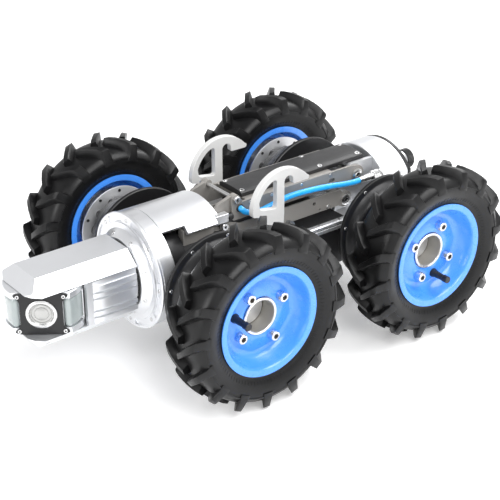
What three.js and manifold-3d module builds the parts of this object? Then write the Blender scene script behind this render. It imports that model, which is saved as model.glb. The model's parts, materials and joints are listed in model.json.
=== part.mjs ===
// Four-wheel pipe inspection crawler: a sealed chassis with four driven lug tyres, a parallelogram
// camera lift, and a camera head that rolls about its length and pans its drum.
// Millimetres, +X forward (camera end), +Y to the vehicle's left, +Z up.
import * as THREE from "three";
import { mergeVertices } from "three/addons/utils/BufferGeometryUtils.js";
import Module from "manifold-3d";

// ---- Driving dimensions ----
const WHEELBASE = 447;
const TRACK = 538; // between the wheels' centre planes
const TYRE_RADIUS = 189.2; // to the tips of the lugs
const TYRE_HALF_WIDTH = 50;
const CARCASS_RADIUS = 173;
const LUGS_PER_SIDE = 16;
const RIM_RADIUS = 114;
const RIM_HALF_WIDTH = 40;
const HUB_RADIUS = 39;
const HUB_BORE_RADIUS = 33;
const AXLE_RADIUS = 18;
const AXLE_INNER_END = 106;
const BOLT_CIRCLE_RADIUS = 57.5;
const WHEEL_BOLTS = 4;
const VALVE_RADIUS = 62;

const CHASSIS_HALF_WIDTH = 92;
const CHASSIS_FRONT = 250;
const CHASSIS_REAR = -335;
const CHASSIS_BOTTOM = 98;
const CHASSIS_TOP = 205;
const CHASSIS_WALL = 8;
const LID_TOP = 213;

const GAP = 0.3; // between pieces that touch
const CAMERA_AXIS_Z = 210; // roll axis of the camera head
const DRUM_X = 533; // pan axis of the camera drum
const DRUM_PAN = THREE.MathUtils.degToRad(54);

const REAR_PIVOT_UPPER = { x: -215, z: 289 };
const REAR_PIVOT_LOWER = { x: -184, z: 238 };
const FRONT_PIVOT_UPPER = { x: 112.5, z: 321 };
const FRONT_PIVOT_LOWER = {
  x: REAR_PIVOT_LOWER.x + FRONT_PIVOT_UPPER.x - REAR_PIVOT_UPPER.x,
  z: REAR_PIVOT_LOWER.z + FRONT_PIVOT_UPPER.z - REAR_PIVOT_UPPER.z,
};
const ARM_INNER = 50; // the arm plates lie between these distances from the centre plane
const ARM_OUTER = 55;
const CHEEK_INNER = 41;
const CHEEK_OUTER = 49;
const REAR_PIN_RADIUS = 7.6;
const FRONT_PIN_RADIUS = 4.6;
const HOLE_PLAY = 0.6;

const COLOURS = {
  aluminium: { color: 0xc9ccd0, metalness: 0.9, roughness: 0.35 },
  armGrey: { color: 0x77756f, metalness: 0.6, roughness: 0.5 },
  black: { color: 0x1b1c1e, metalness: 0.3, roughness: 0.5 },
  blue: { color: 0x2f78dc, metalness: 0.1, roughness: 0.3 },
  cable: { color: 0x1f9bf0, metalness: 0, roughness: 0.4 },
  glass: { color: 0x9fb4be, metalness: 0, roughness: 0.1 },
  rubber: { color: 0x151515, metalness: 0, roughness: 0.8 },
  steel: { color: 0xb9bbbe, metalness: 1, roughness: 0.3 },
  white: { color: 0xe4e4e2, metalness: 0.2, roughness: 0.4 },
};

// ---- Solids ----
const wasm = await Module();
wasm.setup();

function solid(geometry) {
  const bare = geometry.clone();
  bare.deleteAttribute("normal");
  bare.deleteAttribute("uv");
  const merged = mergeVertices(bare, 1e-3);
  const make = (triVerts) =>
    new wasm.Manifold(
      new wasm.Mesh({ numProp: 3, vertProperties: merged.attributes.position.array, triVerts }),
    );
  const triVerts = new Uint32Array(merged.index.array);
  const made = make(triVerts);
  if (made.volume() > 0) return made;
  for (let i = 0; i < triVerts.length; i += 3) {
    [triVerts[i + 1], triVerts[i + 2]] = [triVerts[i + 2], triVerts[i + 1]];
  }
  return make(triVerts);
}

function geometryOf(manifold) {
  const mesh = manifold.getMesh();
  const geometry = new THREE.BufferGeometry();
  geometry.setAttribute("position", new THREE.BufferAttribute(mesh.vertProperties, 3));
  geometry.setIndex(new THREE.BufferAttribute(mesh.triVerts, 1));
  const flat = geometry.toNonIndexed();
  flat.computeVertexNormals();
  return flat;
}

const join = (first, ...rest) => rest.reduce((sum, next) => sum.add(next), first);
const cut = (first, ...rest) => rest.reduce((left, next) => left.subtract(next), first);

function box(x, y, z) {
  const size = [x, y, z].map(([low, high]) => high - low);
  const middle = [x, y, z].map(([low, high]) => (high + low) / 2);
  return solid(new THREE.BoxGeometry(...size).translate(...middle));
}

function extrude(points, depth, holes = []) {
  const shape = new THREE.Shape(points.map(([a, b]) => new THREE.Vector2(a, b)));
  for (const hole of holes) {
    shape.holes.push(new THREE.Path(hole.map(([a, b]) => new THREE.Vector2(a, b))));
  }
  return new THREE.ExtrudeGeometry(shape, { depth, bevelEnabled: false, steps: 1 });
}

// A plate with its outline in X and Z, between two Y planes.
function plateY(points, [low, high], holes = []) {
  const turn = new THREE.Matrix4().set(1, 0, 0, 0, 0, 0, -1, high, 0, 1, 0, 0, 0, 0, 0, 1);
  return solid(extrude(points, high - low, holes).applyMatrix4(turn));
}

// A bar with its section in Y and Z, between two X planes.
function barX(points, [low, high], holes = []) {
  const turn = new THREE.Matrix4().set(0, 0, 1, low, 1, 0, 0, 0, 0, 1, 0, 0, 0, 0, 0, 1);
  return solid(extrude(points, high - low, holes).applyMatrix4(turn));
}

// A slab with its outline in X and Y, between two Z planes.
function slabZ(points, [low, high]) {
  return solid(extrude(points, high - low).translate(0, 0, low));
}

function lathe(profile, segments) {
  return new THREE.LatheGeometry(profile.map(([r, s]) => new THREE.Vector2(r, s)), segments);
}
const latheY = (profile, segments) => solid(lathe(profile, segments));
const latheX = (profile, segments) => solid(lathe(profile, segments).rotateZ(-Math.PI / 2));
const latheZ = (profile, segments) => solid(lathe(profile, segments).rotateX(Math.PI / 2));

const ring = (inner, outer, low, high) => [
  [inner, low], [outer, low], [outer, high], [inner, high], [inner, low],
];
const disc = (radius, low, high) => [[0, low], [radius, low], [radius, high], [0, high]];

// Points on an arc about (x, z), angles in degrees.
function arc(x, z, radius, from, to, steps) {
  return Array.from({ length: steps + 1 }, (_, i) => {
    const angle = THREE.MathUtils.degToRad(from + ((to - from) * i) / steps);
    return [x + radius * Math.cos(angle), z + radius * Math.sin(angle)];
  });
}
const circle = (x, z, radius, steps) => arc(x, z, radius, 0, 360 - 360 / steps, steps - 1);

const pinY = ({ x, z }, radius, [low, high], segments = 20) =>
  latheY(disc(radius, low, high), segments).translate([x, 0, z]);

// ---- Scene graph ----
const crawler = new THREE.Group();

function add(name, finish, manifold, parent = crawler) {
  const mesh = new THREE.Mesh(geometryOf(manifold), new THREE.MeshStandardMaterial(COLOURS[finish]));
  mesh.name = name;
  parent.add(mesh);
  return mesh;
}

const SIDES = [["left", 1], ["right", -1]];
const ENDS = [["front", 1], ["rear", -1]];
const mirrorY = (manifold, side) => (side > 0 ? manifold : manifold.mirror([0, 1, 0]));
const between = (side, low, high) => (side > 0 ? [low, high] : [-high, -low]);

// ---- Wheels, modelled about their own centre with +Y outboard ----
const WHEEL_SEGMENTS = 16;

// One tread bar from the crown to the shoulder; the bars of the two sides alternate.
function lug(side, index) {
  const pitch = (2 * Math.PI) / LUGS_PER_SIDE;
  const start = pitch * (index + (side > 0 ? 0 : 0.5));
  const rake = 0.55 * pitch;
  const half = 0.12 * pitch;
  // angle, distance from the centre plane, inner and outer radius
  const stations = [
    [start, -4, 168, TYRE_RADIUS],
    [start + rake, TYRE_HALF_WIDTH + 2, 164, TYRE_RADIUS - 12],
  ];
  const corners = stations.flatMap(([angle, y, inner, outer]) =>
    [[angle - half, inner], [angle + half, inner], [angle + half, outer], [angle - half, outer]].map(
      ([a, r]) => [r * Math.cos(a), side * y, r * Math.sin(a)],
    ),
  );
  const quads = [[0, 1, 2, 3]];
  for (let s = 0; s < stations.length - 1; s += 1) {
    for (let k = 0; k < 4; k += 1) {
      const next = (k + 1) % 4;
      quads.push([4 * s + k, 4 * s + 4 + k, 4 * s + 4 + next, 4 * s + next]);
    }
  }
  const last = 4 * (stations.length - 1);
  quads.push([last + 3, last + 2, last + 1, last]);
  const geometry = new THREE.BufferGeometry();
  geometry.setAttribute("position", new THREE.Float32BufferAttribute(corners.flat(), 3));
  geometry.setIndex(quads.flatMap(([a, b, c, d]) => [a, b, c, a, c, d]));
  return solid(geometry);
}

function tyreSolid() {
  const outer = [[103, 34.4], [115.5, 34.8], [145, TYRE_HALF_WIDTH], [CARCASS_RADIUS, 36]];
  const inner = [[103, 24], [160, 34]];
  const back = (points) => points.map(([r, y]) => [r, -y]).reverse();
  const profile = [...outer, ...back(outer), ...back([...inner].reverse()), ...[...inner].reverse(), outer[0]];
  let tyre = latheY(profile, LUGS_PER_SIDE);
  for (let i = 0; i < LUGS_PER_SIDE; i += 1) tyre = join(tyre, lug(1, i), lug(-1, i));
  return tyre;
}

const NAVE = [0, 6.5]; // the rim's disc, across the axle
function rimSolid() {
  const profile = [
    [RIM_RADIUS, RIM_HALF_WIDTH], [RIM_RADIUS, 35.4], [102.4, 34.8], [92, 0],
    [102.4, -34.8], [RIM_RADIUS, -35.4], [RIM_RADIUS, -RIM_HALF_WIDTH], [93, -RIM_HALF_WIDTH],
    [86, NAVE[0]], [HUB_RADIUS + 1, NAVE[0]], [HUB_RADIUS + 1, NAVE[1]], [86, NAVE[1]],
    [97, RIM_HALF_WIDTH], [RIM_RADIUS, RIM_HALF_WIDTH],
  ];
  const valveAngle = (2 * Math.PI) / (2 * WHEEL_BOLTS);
  const valveHole = latheY(disc(5.4, -5, 12), 6)
    .translate([VALVE_RADIUS * Math.cos(valveAngle), 0, VALVE_RADIUS * Math.sin(valveAngle)]);
  return cut(latheY(profile, WHEEL_SEGMENTS), valveHole, ...boltShafts(7, [-5, 12], 6));
}

function boltShafts(radius, span, segments) {
  return Array.from({ length: WHEEL_BOLTS }, (_, i) => {
    const angle = (2 * Math.PI * i) / WHEEL_BOLTS;
    const at = { x: BOLT_CIRCLE_RADIUS * Math.cos(angle), z: BOLT_CIRCLE_RADIUS * Math.sin(angle) };
    return pinY(at, radius, span, segments);
  });
}

// Tube, flange behind the rim's disc and the four bolts that clamp the disc to it.
function hubSolid() {
  const profile = [
    [HUB_BORE_RADIUS, -38], [HUB_RADIUS, -38], [HUB_RADIUS, -9], [76, -9], [76, -GAP],
    [HUB_RADIUS, -GAP], [HUB_RADIUS, 10.2], [HUB_BORE_RADIUS, 10.2], [HUB_BORE_RADIUS, -38],
  ];
  const shafts = boltShafts(5.8, [-2, 8], 6);
  const heads = boltShafts(9.5, [NAVE[1] + GAP, 15.4], 6);
  return join(latheY(profile, WHEEL_SEGMENTS), ...shafts, ...heads);
}

// Disc behind the rim, its scalloped clamping ring and the axle stub that turns in the final drive.
function driveFlangeSolid() {
  const lobes = 10;
  const outline = Array.from({ length: lobes }, (_, i) =>
    arc(...circle(0, 0, 58, lobes)[i], 11, (360 * i) / lobes - 80, (360 * i) / lobes + 80, 2),
  ).flat();
  const scalloped = plateY(outline, [-53, -43.5]);
  const plate = latheY(disc(90, -44, -40.5), WHEEL_SEGMENTS);
  const hubSeat = latheY(disc(HUB_BORE_RADIUS - 1, -41, -26), 16);
  const axle = latheY(disc(AXLE_RADIUS, AXLE_INNER_END - TRACK / 2, -52), 16);
  return join(plate, scalloped, hubSeat, axle);
}

const wheelParts = {
  tyre: ["rubber", tyreSolid()],
  rim: ["blue", rimSolid()],
  hub: ["steel", hubSolid()],
  drive_flange: ["aluminium", driveFlangeSolid()],
};

// How far each wheel stands turned, from +X towards +Z, in degrees.
const WHEEL_TURN = { front_left: -30.4, rear_left: -152.8, front_right: -30.4, rear_right: 71 };
for (const [end, forward] of ENDS) {
  for (const [sideName, side] of SIDES) {
    const wheel = new THREE.Group();
    wheel.position.set((forward * WHEELBASE) / 2, (side * TRACK) / 2, TYRE_RADIUS);
    wheel.rotation.y = -THREE.MathUtils.degToRad(WHEEL_TURN[`${end}_${sideName}`]);
    crawler.add(wheel);
    for (const [part, [finish, manifold]] of Object.entries(wheelParts)) {
      add(`${part}_${end}_${sideName}`, finish, mirrorY(manifold, side), wheel);
    }
  }
}

// ---- Final drives: a neck on the chassis side, a flange and a cone towards the wheel ----
const FLANGE_RADIUS = 119;
const NECK_RADIUS = 45; // clears the camera flange as the lift carries it back over the axle
const finalDriveProfile = [
  [0, CHASSIS_HALF_WIDTH + GAP], [NECK_RADIUS, CHASSIS_HALF_WIDTH + GAP], [NECK_RADIUS, 127],
  [FLANGE_RADIUS, 127], [FLANGE_RADIUS, 136], [102, 156], [80, 196], [70, 214],
  [AXLE_RADIUS + 2, 214], [AXLE_RADIUS + 2, AXLE_INNER_END - 2], [0, AXLE_INNER_END - 2],
  [0, CHASSIS_HALF_WIDTH + GAP],
];
for (const [end, forward] of ENDS) {
  for (const [sideName, side] of SIDES) {
    const housing = latheY(finalDriveProfile, WHEEL_SEGMENTS);
    const mesh = add(`final_drive_${end}_${sideName}`, "black", mirrorY(housing, side));
    mesh.position.set((forward * WHEELBASE) / 2, 0, TYRE_RADIUS);
  }
}

// ---- Chassis ----
function chassisSection(inset, bottom) {
  const wide = CHASSIS_HALF_WIDTH - inset;
  const narrow = wide - 22;
  return [[-wide, CHASSIS_TOP], [-wide, bottom + 22], [-narrow, bottom], [narrow, bottom],
    [wide, bottom + 22], [wide, CHASSIS_TOP]];
}
const tub = cut(
  barX(chassisSection(0, CHASSIS_BOTTOM), [CHASSIS_REAR, CHASSIS_FRONT]),
  barX(chassisSection(CHASSIS_WALL, CHASSIS_BOTTOM + CHASSIS_WALL).map(([y, z]) =>
    [y, z === CHASSIS_TOP ? CHASSIS_TOP + 5 : z]),
  [CHASSIS_REAR + CHASSIS_WALL, CHASSIS_FRONT - CHASSIS_WALL]),
);
add("chassis_tub", "black", tub);

const lidHalfWidth = CHASSIS_HALF_WIDTH;
add("chassis_lid", "aluminium", barX(
  [[-lidHalfWidth, CHASSIS_TOP + GAP], [lidHalfWidth, CHASSIS_TOP + GAP], [lidHalfWidth, LID_TOP - 3],
    [lidHalfWidth - 3, LID_TOP], [-lidHalfWidth + 3, LID_TOP], [-lidHalfWidth, LID_TOP - 3]],
  [CHASSIS_REAR, CHASSIS_FRONT]));

// Two geared motors lie along the chassis floor, one for each side's pair of wheels.
const MOTOR_RADIUS = 30;
for (const [sideName, side] of SIDES) {
  const motor = join(
    latheX(disc(MOTOR_RADIUS, -150, 60), 20),
    latheX(disc(22, 59, 120), 20),
    latheX(disc(7, 119, 150), 12),
  ).translate([0, side * 40, CHASSIS_BOTTOM + CHASSIS_WALL + MOTOR_RADIUS + 4]);
  add(`drive_motor_${sideName}`, "steel", motor);
}

// A toothed belt and its two pulleys join the front and rear final drives on each side.
const BELT_INNER = 10.6;
const BELT_OUTER = 14;
function beltOutline(radius) {
  const half = WHEELBASE / 2;
  return [...arc(half, TYRE_RADIUS, radius, -90, 90, 8), ...arc(-half, TYRE_RADIUS, radius, 90, 270, 8)];
}
for (const [sideName, side] of SIDES) {
  const belt = plateY(beltOutline(BELT_OUTER), between(side, 72, 82), [beltOutline(BELT_INNER).reverse()]);
  const pulleys = ENDS.map(([, forward]) => pinY({ x: (forward * WHEELBASE) / 2, z: TYRE_RADIUS },
    BELT_INNER + 1, between(side, 71, CHASSIS_HALF_WIDTH - CHASSIS_WALL - GAP), 16));
  add(`drive_belt_${sideName}`, "black", join(belt, ...pulleys));
}

// ---- Rear housing, tether socket and its cap ----
const HOUSING_RADIUS = 115;
const HOUSING_FRONT = -266;
const roofEdge = THREE.MathUtils.radToDeg(Math.acos(CHASSIS_HALF_WIDTH / HOUSING_RADIUS));
add("rear_housing", "white", barX(
  [[CHASSIS_HALF_WIDTH, LID_TOP + GAP], ...arc(0, CAMERA_AXIS_Z, HOUSING_RADIUS, roofEdge, 180 - roofEdge, 12),
    [-CHASSIS_HALF_WIDTH, LID_TOP + GAP]],
  [CHASSIS_REAR, HOUSING_FRONT]));
add("rear_plate", "black", barX(
  [[CHASSIS_HALF_WIDTH, CHASSIS_BOTTOM + 22],
    ...arc(0, CAMERA_AXIS_Z, HOUSING_RADIUS, roofEdge, 180 - roofEdge, 12),
    [-CHASSIS_HALF_WIDTH, CHASSIS_BOTTOM + 22], [22 - CHASSIS_HALF_WIDTH, CHASSIS_BOTTOM],
    [CHASSIS_HALF_WIDTH - 22, CHASSIS_BOTTOM]],
  [CHASSIS_REAR - 9, CHASSIS_REAR - GAP]));
const TETHER_Z = 254;
const rearFace = CHASSIS_REAR - 9 - GAP;
add("tether_socket", "aluminium", latheX(
  [[0, -404], [21, -404], [21, -360], [27, -358], [27, rearFace], [0, rearFace]], 20,
).translate([0, 0, TETHER_Z]));
add("tether_cap", "black", latheX(
  [[0, -426], [20, -426], [23, -423], [23, -404 - GAP], [0, -404 - GAP]], 20,
).translate([0, 0, TETHER_Z]));

// ---- Hooks beside the lift ----
const HOOK = { x: 33, z: 307, outer: 80, inner: 67 };
const HOOK_PLANES = [99, 112];
function hookSolid(side) {
  const outline = [
    [36, 200], [104, 200], [113, 290], ...arc(HOOK.x, HOOK.z, HOOK.outer, 0, 146, 18), [-37, 347],
    [9, 349], [9, 358], ...arc(20.5, 357, 11.5, 150, 30, 4), [32, 352], [32, 290],
  ];
  const window = [
    [52, 305], [90, 310], [98, 318], ...arc(HOOK.x, HOOK.z, HOOK.inner, 22, 64, 6), [50, 356], [50, 308],
  ];
  const plate = plateY(outline, between(side, ...HOOK_PLANES), [window]);
  const foot = box([40, 100], between(side, CHASSIS_HALF_WIDTH + GAP, 112), [140, 201]);
  return join(plate, foot);
}
for (const [sideName, side] of SIDES) add(`hook_${sideName}`, "white", hookSolid(side));

// ---- Lift: brackets, arms and pins ----
function pinHole(at, radius) {
  return circle(at.x, at.z, radius + HOLE_PLAY, 20).reverse();
}
for (const [sideName, side] of SIDES) {
  add(`lift_bracket_${sideName}`, "white", plateY(
    [[-265.5, LID_TOP + GAP], [-160, LID_TOP + GAP], [-160, 240], [-196, 304], [-204, 313], [-265.5, 313]],
    between(side, 40, 48.6),
    [pinHole(REAR_PIVOT_UPPER, REAR_PIN_RADIUS - HOLE_PLAY + GAP),
      pinHole(REAR_PIVOT_LOWER, REAR_PIN_RADIUS - HOLE_PLAY + GAP)]));
}

function pin(name, at, radius, headRadius) {
  const head = ARM_OUTER + HOLE_PLAY;
  const profile = [[0, -head - 6], [headRadius, -head - 6], [headRadius, -head], [radius, -head],
    [radius, head], [headRadius, head], [headRadius, head + 6], [0, head + 6]];
  add(name, "steel", latheY(profile, 14).translate([at.x, 0, at.z]));
}
pin("rear_upper_pin", REAR_PIVOT_UPPER, REAR_PIN_RADIUS, 13);
pin("rear_lower_pin", REAR_PIVOT_LOWER, REAR_PIN_RADIUS, 13);

const UPPER_PLATE = { bottom: 275, top: 312 };
const upperOutline = [
  ...arc(REAR_PIVOT_UPPER.x, REAR_PIVOT_UPPER.z, 20, 110, 270, 8), [-190, UPPER_PLATE.bottom],
  [118, UPPER_PLATE.bottom], [123, 281], [123, 318],
  ...arc(FRONT_PIVOT_UPPER.x, FRONT_PIVOT_UPPER.z, 10, 0, 150, 5), [96, UPPER_PLATE.top],
  [-200, UPPER_PLATE.top],
];
const WEB = { rear: -148, front: 84, z: [306, UPPER_PLATE.top] };
for (const [sideName, side] of SIDES) {
  const holes = [pinHole(REAR_PIVOT_UPPER, REAR_PIN_RADIUS), pinHole(FRONT_PIVOT_UPPER, FRONT_PIN_RADIUS)];
  const slot = [...arc(-148, 292, 5, 90, 270, 4), ...arc(-142, 292, 5, -90, 90, 4)].reverse();
  add(`upper_arm_${sideName}`, "armGrey",
    plateY(upperOutline, between(side, ARM_INNER, ARM_OUTER), [...holes, slot]));
}
add("upper_arm_web", "armGrey",
  box([WEB.rear, WEB.front], [-ARM_INNER + GAP, ARM_INNER - GAP], WEB.z));

const COVER_HALF_WIDTH = 38;
const coverSection = [[-COVER_HALF_WIDTH, UPPER_PLATE.top + GAP], [COVER_HALF_WIDTH, UPPER_PLATE.top + GAP],
  [COVER_HALF_WIDTH, 320], [25, 323.6], [9, 325.5], [-9, 325.5], [-25, 323.6], [-COVER_HALF_WIDTH, 320]];
add("arm_cover", "black", barX(coverSection, [-247, 86]));

// The arm carries the motor that winds it round the rear upper pin.
add("lift_gearmotor", "steel", join(
  latheX(disc(20, -120, 30), 20), latheX(disc(10, 29, 78), 16),
).translate([0, 0, 284]));

const lowerOutline = [
  ...arc(REAR_PIVOT_LOWER.x, REAR_PIVOT_LOWER.z, 18, 70, 300, 9), [-165, 227], [70, 227], [128, 248],
  ...arc(FRONT_PIVOT_LOWER.x, FRONT_PIVOT_LOWER.z, 9.5, -50, 130, 6), [100, 264], [-168, 264],
];
const SPACER = { x: 20, z: 244 };
for (const [sideName, side] of SIDES) {
  const holes = [pinHole(REAR_PIVOT_LOWER, REAR_PIN_RADIUS), pinHole(FRONT_PIVOT_LOWER, FRONT_PIN_RADIUS)];
  add(`lower_arm_${sideName}`, "armGrey",
    plateY(lowerOutline, between(side, ARM_INNER, ARM_OUTER), holes));
}
add("lower_arm_spacer", "steel", pinY(SPACER, 8, [GAP - ARM_INNER, ARM_INNER - GAP], 12));

// ---- Camera carrier: everything the arms hold up ----
const BAND = { rear: 303, front: 342, radius: 120 };
const ROLL_BORE = 45;
const SHELL_REAR = 168;
const SHELL_INNER = 112;
add("camera_flange", "aluminium", latheX([
  [ROLL_BORE, BAND.rear], [BAND.radius, BAND.rear], [BAND.radius, 335], [122, 335], [122, BAND.front],
  [89, BAND.front], [89, 346], [73, 359], [ROLL_BORE, 359], [ROLL_BORE, BAND.rear],
], 28).translate([0, 0, CAMERA_AXIS_Z]));

function shellSector(low, inner = SHELL_INNER) {
  return [...arc(0, CAMERA_AXIS_Z, BAND.radius, low, 180 - low, 14),
    ...arc(0, CAMERA_AXIS_Z, inner, 180 - low, low, 14)];
}
add("carrier_shell", "aluminium", join(
  barX(shellSector(55.5), [SHELL_REAR, BAND.rear - GAP]),
  barX(shellSector(47.5), [177, 250]),
));

// Its lower back is cut away, so that it clears the chassis as the lift rises.
const CORE_RADIUS = 90;
const core = latheX([
  [0, 252], [CORE_RADIUS - 6, 252], [CORE_RADIUS, 258], [CORE_RADIUS, BAND.rear - GAP],
  [40, BAND.rear - GAP], [40, 300], [0, 300],
], WHEEL_SEGMENTS).translate([0, 0, CAMERA_AXIS_Z]);
add("roll_motor_housing", "black", cut(core, box([240, 278], [-100, 100], [100, 240])));

function cheekOutline() {
  return [
    [251.5, 262], [251.5, 306], [166, 306], [150, 319], [124, 327],
    ...arc(FRONT_PIVOT_UPPER.x, FRONT_PIVOT_UPPER.z, 10, 40, 220, 6),
    [118, 285], ...arc(FRONT_PIVOT_LOWER.x, FRONT_PIVOT_LOWER.z, 11, 160, 300, 5), [165, 262],
  ];
}
const carrierFrame = join(
  ...SIDES.map(([, side]) => plateY(cheekOutline(), between(side, CHEEK_INNER, CHEEK_OUTER))),
  box([177, 251.5], [-66, 66], [262, 296]),
);
const pinPlay = 0.3;
add("carrier_frame", "armGrey", cut(carrierFrame,
  pinY(FRONT_PIVOT_UPPER, FRONT_PIN_RADIUS + pinPlay, [-60, 60]),
  pinY(FRONT_PIVOT_LOWER, FRONT_PIN_RADIUS + pinPlay, [-60, 60])));
pin("front_upper_pin", FRONT_PIVOT_UPPER, FRONT_PIN_RADIUS, 8);
pin("front_lower_pin", FRONT_PIVOT_LOWER, FRONT_PIN_RADIUS, 8);

add("roll_bearing", "steel", latheX(ring(29, ROLL_BORE - GAP, 318, 334), 24)
  .translate([0, 0, CAMERA_AXIS_Z]));

// ---- Camera head ----
const HEAD = { rear: 366, front: 603, half: 74.4, flat: 39.5, side: 70, sideZ: 47 };
const WINDOW = 46; // half height of the opening between the fork's arms
const headSection = [
  [HEAD.flat, HEAD.half], [-HEAD.flat, HEAD.half], [-HEAD.side, HEAD.sideZ], [-HEAD.side, -HEAD.sideZ],
  [-HEAD.flat, -HEAD.half], [HEAD.flat, -HEAD.half], [HEAD.side, -HEAD.sideZ], [HEAD.side, HEAD.sideZ],
].map(([y, z]) => [y, CAMERA_AXIS_Z + z]);
const DRUM_RADIUS = 78;

function headSolid() {
  const body = barX(headSection, [HEAD.rear, HEAD.front]);
  const nose = (side) => slabZ(
    side > 0
      ? [[574, 72], [590, 56], [604, 24], [610, 24], [610, 80], [574, 80]]
      : [[574, -72], [574, -80], [610, -80], [610, -24], [604, -24], [590, -56]],
    [100, 320]);
  const visor = (up) => plateY(
    [[570, CAMERA_AXIS_Z + up * (HEAD.half + 0.5)], [608, CAMERA_AXIS_Z + up * 34],
      [620, CAMERA_AXIS_Z + up * 34], [620, CAMERA_AXIS_Z + up * 90], [570, CAMERA_AXIS_Z + up * 90]],
    [-80, 80]);
  const opening = join(
    latheZ(disc(DRUM_RADIUS + 3, -WINDOW, WINDOW), 40).translate([DRUM_X, 0, CAMERA_AXIS_Z]),
    box([DRUM_X, 620], [-90, 90], [CAMERA_AXIS_Z - WINDOW, CAMERA_AXIS_Z + WINDOW]),
    box([480, 620], [60, 90], [CAMERA_AXIS_Z - WINDOW, CAMERA_AXIS_Z + WINDOW]),
    box([480, 620], [-90, -60], [CAMERA_AXIS_Z - WINDOW, CAMERA_AXIS_Z + WINDOW]),
  );
  const pivotHoles = latheZ(disc(10, -70, 70), 16).translate([DRUM_X, 0, CAMERA_AXIS_Z]);
  const shaft = latheX([[0, 302], [28, 302], [28, 362], [68, 362], [68, 368], [0, 368]], 16);
  const cableBore = latheX(disc(16, 300, 380), 8);
  const bay = box([376, 444], [-56, 56], [-58, 58]);
  const shell = cut(body, nose(1), nose(-1), visor(1), visor(-1), opening, pivotHoles);
  return cut(
    join(shell, shaft.translate([0, 0, CAMERA_AXIS_Z])),
    join(cableBore, bay).translate([0, 0, CAMERA_AXIS_Z]),
  );
}
add("camera_head", "aluminium", headSolid());

// ---- Camera drum: pans between the fork's arms ----
const FACE = 55; // distance of the flat face from the pan axis
const DRUM_HALF = 45;
const drum = new THREE.Group();
drum.position.set(DRUM_X, 0, CAMERA_AXIS_Z);
drum.rotation.z = DRUM_PAN;
crawler.add(drum);

const WINDOW_HALF = 41; // half width of the face plate at its waist
function drumSolid() {
  const round = latheZ(disc(DRUM_RADIUS, -DRUM_HALF, DRUM_HALF), 40);
  const face = box([FACE, 90], [-90, 90], [-50, 50]);
  const lampBay = (side) => box([18, 90], side > 0 ? [WINDOW_HALF + 2, 90] : [-90, -WINDOW_HALF - 2], [-28, 28]);
  const lens = latheX(disc(27, 20, 60), 24);
  const trunnion = latheZ(disc(9.4, -58, 58), 16);
  return join(cut(round, face, lampBay(1), lampBay(-1), lens), trunnion);
}
add("drum_body", "aluminium", drumSolid(), drum);

const faceOutline = [
  [-58, 40], [-40, 44], [40, 44], [58, 40], [WINDOW_HALF, 28], [WINDOW_HALF, -28], [58, -40], [40, -44],
  [-40, -44], [-58, -40], [-WINDOW_HALF, -28], [-WINDOW_HALF, 28],
];
const plateFront = FACE + 3;
add("drum_face_plate", "black", cut(
  barX([...faceOutline].reverse(), [FACE + GAP, plateFront]),
  box([50, 70], [48, 60], [-50, 50]),
  box([50, 70], [-60, -48], [-50, 50]),
  latheX(disc(30, 50, 70), 24),
), drum);

add("camera_lens", "glass", latheX(
  [[0, 22], [26, 22], [26, FACE + GAP], [29.5, FACE + GAP], [29.5, plateFront + 2], [24, plateFront + 6],
    [0, plateFront + 8]], 24), drum);

for (const [sideName, side] of SIDES) {
  const lamp = latheZ(disc(DRUM_RADIUS - 1, -27, 27), 40);
  const keep = box([19, FACE - 0.5], side > 0 ? [WINDOW_HALF + 2.6, 90] : [-90, -WINDOW_HALF - 2.6], [-30, 30]);
  add(`lamp_window_${sideName}`, "glass", lamp.intersect(keep), drum);
}

// ---- Cable between the upper arm and the rear housing ----
const CABLE_RADIUS = 6.3;
const cableRoute = [
  [-205.4, 75, 283], [-190, 75, 283], [-165, 74, 285], [-127, 72, 290], [-86, 70, 294], [-44, 70, 297],
  [-18, 70, 297.5], [2, 70, 296], [20, 70, 293], [36, 70, 290], [55, 70, 287], [70, 70, 286.5],
  [85, 68, 289], [97, 65, 293], [101.5, 62.5, 297.5], [103, 59, 299.5],
];
const cablePath = new THREE.CatmullRomCurve3(cableRoute.map((point) => new THREE.Vector3(...point)));
const cableSection = new THREE.Shape(
  circle(0, 0, CABLE_RADIUS, 8).map(([a, b]) => new THREE.Vector2(a, b)),
);
add("signal_cable", "cable", solid(
  new THREE.ExtrudeGeometry(cableSection, { extrudePath: cablePath, steps: 30, bevelEnabled: false })));
add("cable_connector", "steel", latheX(
  [[0, HOUSING_FRONT + GAP], [11, HOUSING_FRONT + GAP], [11, -240], [8.5, -238], [8.5, -232],
    [6.6, -205.9], [0, -205.9]], 16).translate([0, 75, 283]));

// ---- Origin: on the ground under the middle of the whole vehicle ----
const extent = new THREE.Box3().setFromObject(crawler, true);
const middle = extent.getCenter(new THREE.Vector3());
crawler.position.set(-middle.x, -middle.y, -extent.min.z);

export default crawler;
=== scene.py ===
"""Looks for the four-wheel pipe inspection crawler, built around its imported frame.

Shapes are worked out in millimetres, with X forward from the middle of the wheelbase, Y to the
vehicle's left and Z up from the ground, and are moved into the frame when each mesh is made.
"""
import json
import math

import bmesh
import bpy
from mathutils import Matrix, Vector
from mathutils.geometry import tessellate_polygon


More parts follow.
